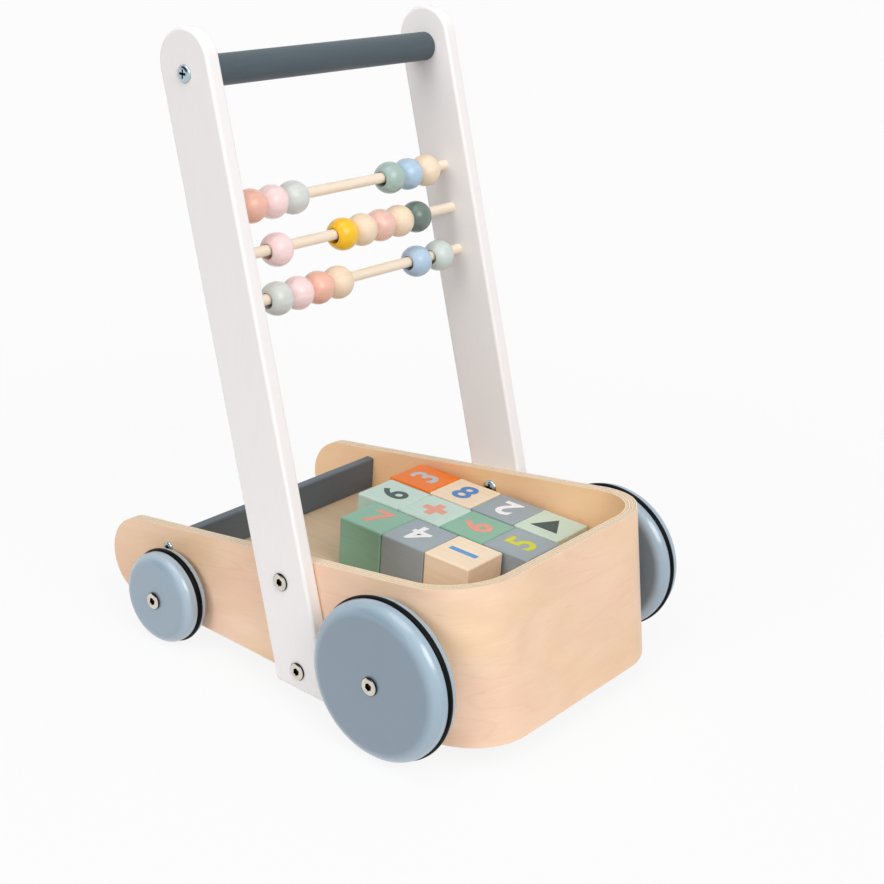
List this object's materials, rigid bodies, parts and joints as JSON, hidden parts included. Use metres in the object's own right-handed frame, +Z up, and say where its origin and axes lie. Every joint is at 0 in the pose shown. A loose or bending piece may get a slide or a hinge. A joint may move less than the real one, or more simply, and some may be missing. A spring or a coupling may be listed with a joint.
{
  "type": "wooden baby walker",
  "caption": "Wooden push walker with a bent plywood tray of toy blocks, ring-tyred wheels, leaning uprights, a round handle bar and rails of sliding beads.",
  "frame": {"origin": "on the ground under the middle of the walker's bounding box", "axes": "+X forwards, the way the walker is pushed, +Y to the child's left, +Z up from the ground"},
  "size_m": [0.3666, 0.3056, 0.462],
  "materials": {
    "birch_plywood": "clear satin lacquer over birch veneer",
    "natural_wood": "plain sanded wood",
    "slate_paint": "satin slate-grey paint",
    "white_paint": "satin warm white paint",
    "zinc_screw": "bluish zinc plating",
    "nickel": "bright nickel plating",
    "nylon": "smooth moulded nylon",
    "powder_blue_paint": "satin powder-blue paint",
    "black_rubber": "matt black rubber",
    "natural_bead": "clear lacquer",
    "salmon_paint": "satin paint",
    "pink_paint": "satin paint",
    "mist_paint": "satin paint",
    "sage_paint": "satin paint",
    "blue_paint": "satin paint",
    "yellow_paint": "satin paint",
    "forest_paint": "satin paint",
    "rose_paint": "satin paint",
    "leaf_paint": "satin paint",
    "orange_block": "satin paint",
    "maple_block": "clear lacquer",
    "grey_block": "satin paint",
    "leaf_block": "satin paint",
    "mint_block": "satin paint",
    "green_block": "satin paint"
  },
  "bodies": {
    "frame": {"tray_wall": "birch_plywood", "tray_floor": "birch_plywood", "floor_batten_left": "natural_wood", "floor_batten_right": "natural_wood", "back_board": "slate_paint", "back_board_screws": "zinc_screw", "upright_left": "white_paint", "upright_right": "white_paint", "handle_bar": "slate_paint", "handle_screws": "zinc_screw", "upright_bolts": "nickel", "upright_cap_nuts": "nickel", "front_wheel_bolts": "nickel", "rear_wheel_bolts": "nickel", "wheel_cap_nuts": "nickel", "wheel_spacers": "nylon", "top_rail": "natural_wood", "middle_rail": "natural_wood", "bottom_rail": "natural_wood"},
    "front_right_wheel": {"front_right_disc": "powder_blue_paint", "front_right_tyre": "black_rubber", "front_right_bush": "nylon"},
    "front_left_wheel": {"front_left_disc": "powder_blue_paint", "front_left_tyre": "black_rubber", "front_left_bush": "nylon"},
    "rear_right_wheel": {"rear_right_disc": "powder_blue_paint", "rear_right_tyre": "black_rubber", "rear_right_bush": "nylon"},
    "rear_left_wheel": {"rear_left_disc": "powder_blue_paint", "rear_left_tyre": "black_rubber", "rear_left_bush": "nylon"},
    "top_bead_1": {"top_bead_1": "salmon_paint"},
    "top_bead_2": {"top_bead_2": "pink_paint"},
    "top_bead_3": {"top_bead_3": "mist_paint"},
    "top_bead_4": {"top_bead_4": "sage_paint"},
    "top_bead_5": {"top_bead_5": "blue_paint"},
    "top_bead_6": {"top_bead_6": "natural_bead"},
    "middle_bead_1": {"middle_bead_1": "pink_paint"},
    "middle_bead_2": {"middle_bead_2": "yellow_paint"},
    "middle_bead_3": {"middle_bead_3": "natural_bead"},
    "middle_bead_4": {"middle_bead_4": "rose_paint"},
    "middle_bead_5": {"middle_bead_5": "natural_bead"},
    "middle_bead_6": {"middle_bead_6": "forest_paint"},
    "bottom_bead_1": {"bottom_bead_1": "mist_paint"},
    "bottom_bead_2": {"bottom_bead_2": "pink_paint"},
    "bottom_bead_3": {"bottom_bead_3": "salmon_paint"},
    "bottom_bead_4": {"bottom_bead_4": "natural_bead"},
    "bottom_bead_5": {"bottom_bead_5": "blue_paint"},
    "bottom_bead_6": {"bottom_bead_6": "leaf_paint"},
    "block_1": {"block_1": "orange_block"},
    "block_2": {"block_2": "maple_block"},
    "block_3": {"block_3": "grey_block"},
    "block_4": {"block_4": "leaf_block"},
    "block_5": {"block_5": "mint_block"},
    "block_6": {"block_6": "mint_block"},
    "block_7": {"block_7": "green_block"},
    "block_8": {"block_8": "grey_block"},
    "block_9": {"block_9": "green_block"},
    "block_10": {"block_10": "grey_block"},
    "block_11": {"block_11": "maple_block"}
  },
  "joints": [
    {"name": "front_right_wheel_spin", "type": "hinge", "parent": "frame", "child": "front_right_wheel", "pos_m": [0.11284, -0.13755, 0.0585], "axis": [0, 1, 0], "continuous": true},
    {"name": "front_left_wheel_spin", "type": "hinge", "parent": "frame", "child": "front_left_wheel", "pos_m": [0.11284, 0.13755, 0.0585], "axis": [0, 1, 0], "continuous": true},
    {"name": "rear_right_wheel_spin", "type": "hinge", "parent": "frame", "child": "rear_right_wheel", "pos_m": [-0.10716, -0.13395, 0.0366], "axis": [0, 1, 0], "continuous": true},
    {"name": "rear_left_wheel_spin", "type": "hinge", "parent": "frame", "child": "rear_left_wheel", "pos_m": [-0.10716, 0.13395, 0.0366], "axis": [0, 1, 0], "continuous": true},
    {"name": "top_bead_1_slide", "type": "slide", "parent": "frame", "child": "top_bead_1", "axis": [0, 1, 0], "range_m": [-0.0145, 0.0281]},
    {"name": "top_bead_2_slide", "type": "slide", "parent": "top_bead_1", "child": "top_bead_2", "axis": [0, 1, 0], "range_m": [0, 0.0281]},
    {"name": "top_bead_3_slide", "type": "slide", "parent": "top_bead_2", "child": "top_bead_3", "axis": [0, 1, 0], "range_m": [0, 0.0281]},
    {"name": "top_bead_6_slide", "type": "slide", "parent": "frame", "child": "top_bead_6", "axis": [0, 1, 0], "range_m": [-0.0281, 0.0129]},
    {"name": "top_bead_5_slide", "type": "slide", "parent": "top_bead_6", "child": "top_bead_5", "axis": [0, 1, 0], "range_m": [-0.0281, 0]},
    {"name": "top_bead_4_slide", "type": "slide", "parent": "top_bead_5", "child": "top_bead_4", "axis": [0, 1, 0], "range_m": [-0.0281, 0]},
    {"name": "middle_bead_1_slide", "type": "slide", "parent": "frame", "child": "middle_bead_1", "axis": [0, 1, 0], "range_m": [-0.0319, 0.0472]},
    {"name": "middle_bead_6_slide", "type": "slide", "parent": "frame", "child": "middle_bead_6", "axis": [0, 1, 0], "range_m": [-0.0094, 0.0325]},
    {"name": "middle_bead_5_slide", "type": "slide", "parent": "middle_bead_6", "child": "middle_bead_5", "axis": [0, 1, 0], "range_m": [-0.0094, 0]},
    {"name": "middle_bead_4_slide", "type": "slide", "parent": "middle_bead_5", "child": "middle_bead_4", "axis": [0, 1, 0], "range_m": [-0.0094, 0]},
    {"name": "middle_bead_3_slide", "type": "slide", "parent": "middle_bead_4", "child": "middle_bead_3", "axis": [0, 1, 0], "range_m": [-0.0094, 0]},
    {"name": "middle_bead_2_slide", "type": "slide", "parent": "middle_bead_3", "child": "middle_bead_2", "axis": [0, 1, 0], "range_m": [-0.0094, 0]},
    {"name": "bottom_bead_1_slide", "type": "slide", "parent": "frame", "child": "bottom_bead_1", "axis": [0, 1, 0], "range_m": [-0.0233, 0.0171]},
    {"name": "bottom_bead_2_slide", "type": "slide", "parent": "bottom_bead_1", "child": "bottom_bead_2", "axis": [0, 1, 0], "range_m": [0, 0.0171]},
    {"name": "bottom_bead_3_slide", "type": "slide", "parent": "bottom_bead_2", "child": "bottom_bead_3", "axis": [0, 1, 0], "range_m": [0, 0.0171]},
    {"name": "bottom_bead_4_slide", "type": "slide", "parent": "bottom_bead_3", "child": "bottom_bead_4", "axis": [0, 1, 0], "range_m": [0, 0.0171]},
    {"name": "bottom_bead_6_slide", "type": "slide", "parent": "frame", "child": "bottom_bead_6", "axis": [0, 1, 0], "range_m": [-0.0342, 0.0137]},
    {"name": "bottom_bead_5_slide", "type": "slide", "parent": "bottom_bead_6", "child": "bottom_bead_5", "axis": [0, 1, 0], "range_m": [-0.0342, 0.0059]},
    {"name": "block_1_lift", "type": "slide", "parent": "frame", "child": "block_1", "axis": [0, 0, 1], "range_m": [0, 0.1]},
    {"name": "block_2_lift", "type": "slide", "parent": "frame", "child": "block_2", "axis": [0, 0, 1], "range_m": [0, 0.1]},
    {"name": "block_3_lift", "type": "slide", "parent": "frame", "child": "block_3", "axis": [0, 0, 1], "range_m": [0, 0.1]},
    {"name": "block_4_lift", "type": "slide", "parent": "frame", "child": "block_4", "axis": [0, 0, 1], "range_m": [0, 0.1]},
    {"name": "block_5_lift", "type": "slide", "parent": "frame", "child": "block_5", "axis": [0, 0, 1], "range_m": [0, 0.1]},
    {"name": "block_6_lift", "type": "slide", "parent": "frame", "child": "block_6", "axis": [0, 0, 1], "range_m": [0, 0.1]},
    {"name": "block_7_lift", "type": "slide", "parent": "frame", "child": "block_7", "axis": [0, 0, 1], "range_m": [0, 0.1]},
    {"name": "block_8_lift", "type": "slide", "parent": "frame", "child": "block_8", "axis": [0, 0, 1], "range_m": [0, 0.1]},
    {"name": "block_9_lift", "type": "slide", "parent": "frame", "child": "block_9", "axis": [0, 0, 1], "range_m": [0, 0.1]},
    {"name": "block_10_lift", "type": "slide", "parent": "frame", "child": "block_10", "axis": [0, 0, 1], "range_m": [0, 0.1]},
    {"name": "block_11_lift", "type": "slide", "parent": "frame", "child": "block_11", "axis": [0, 0, 1], "range_m": [0, 0.1]}
  ]
}
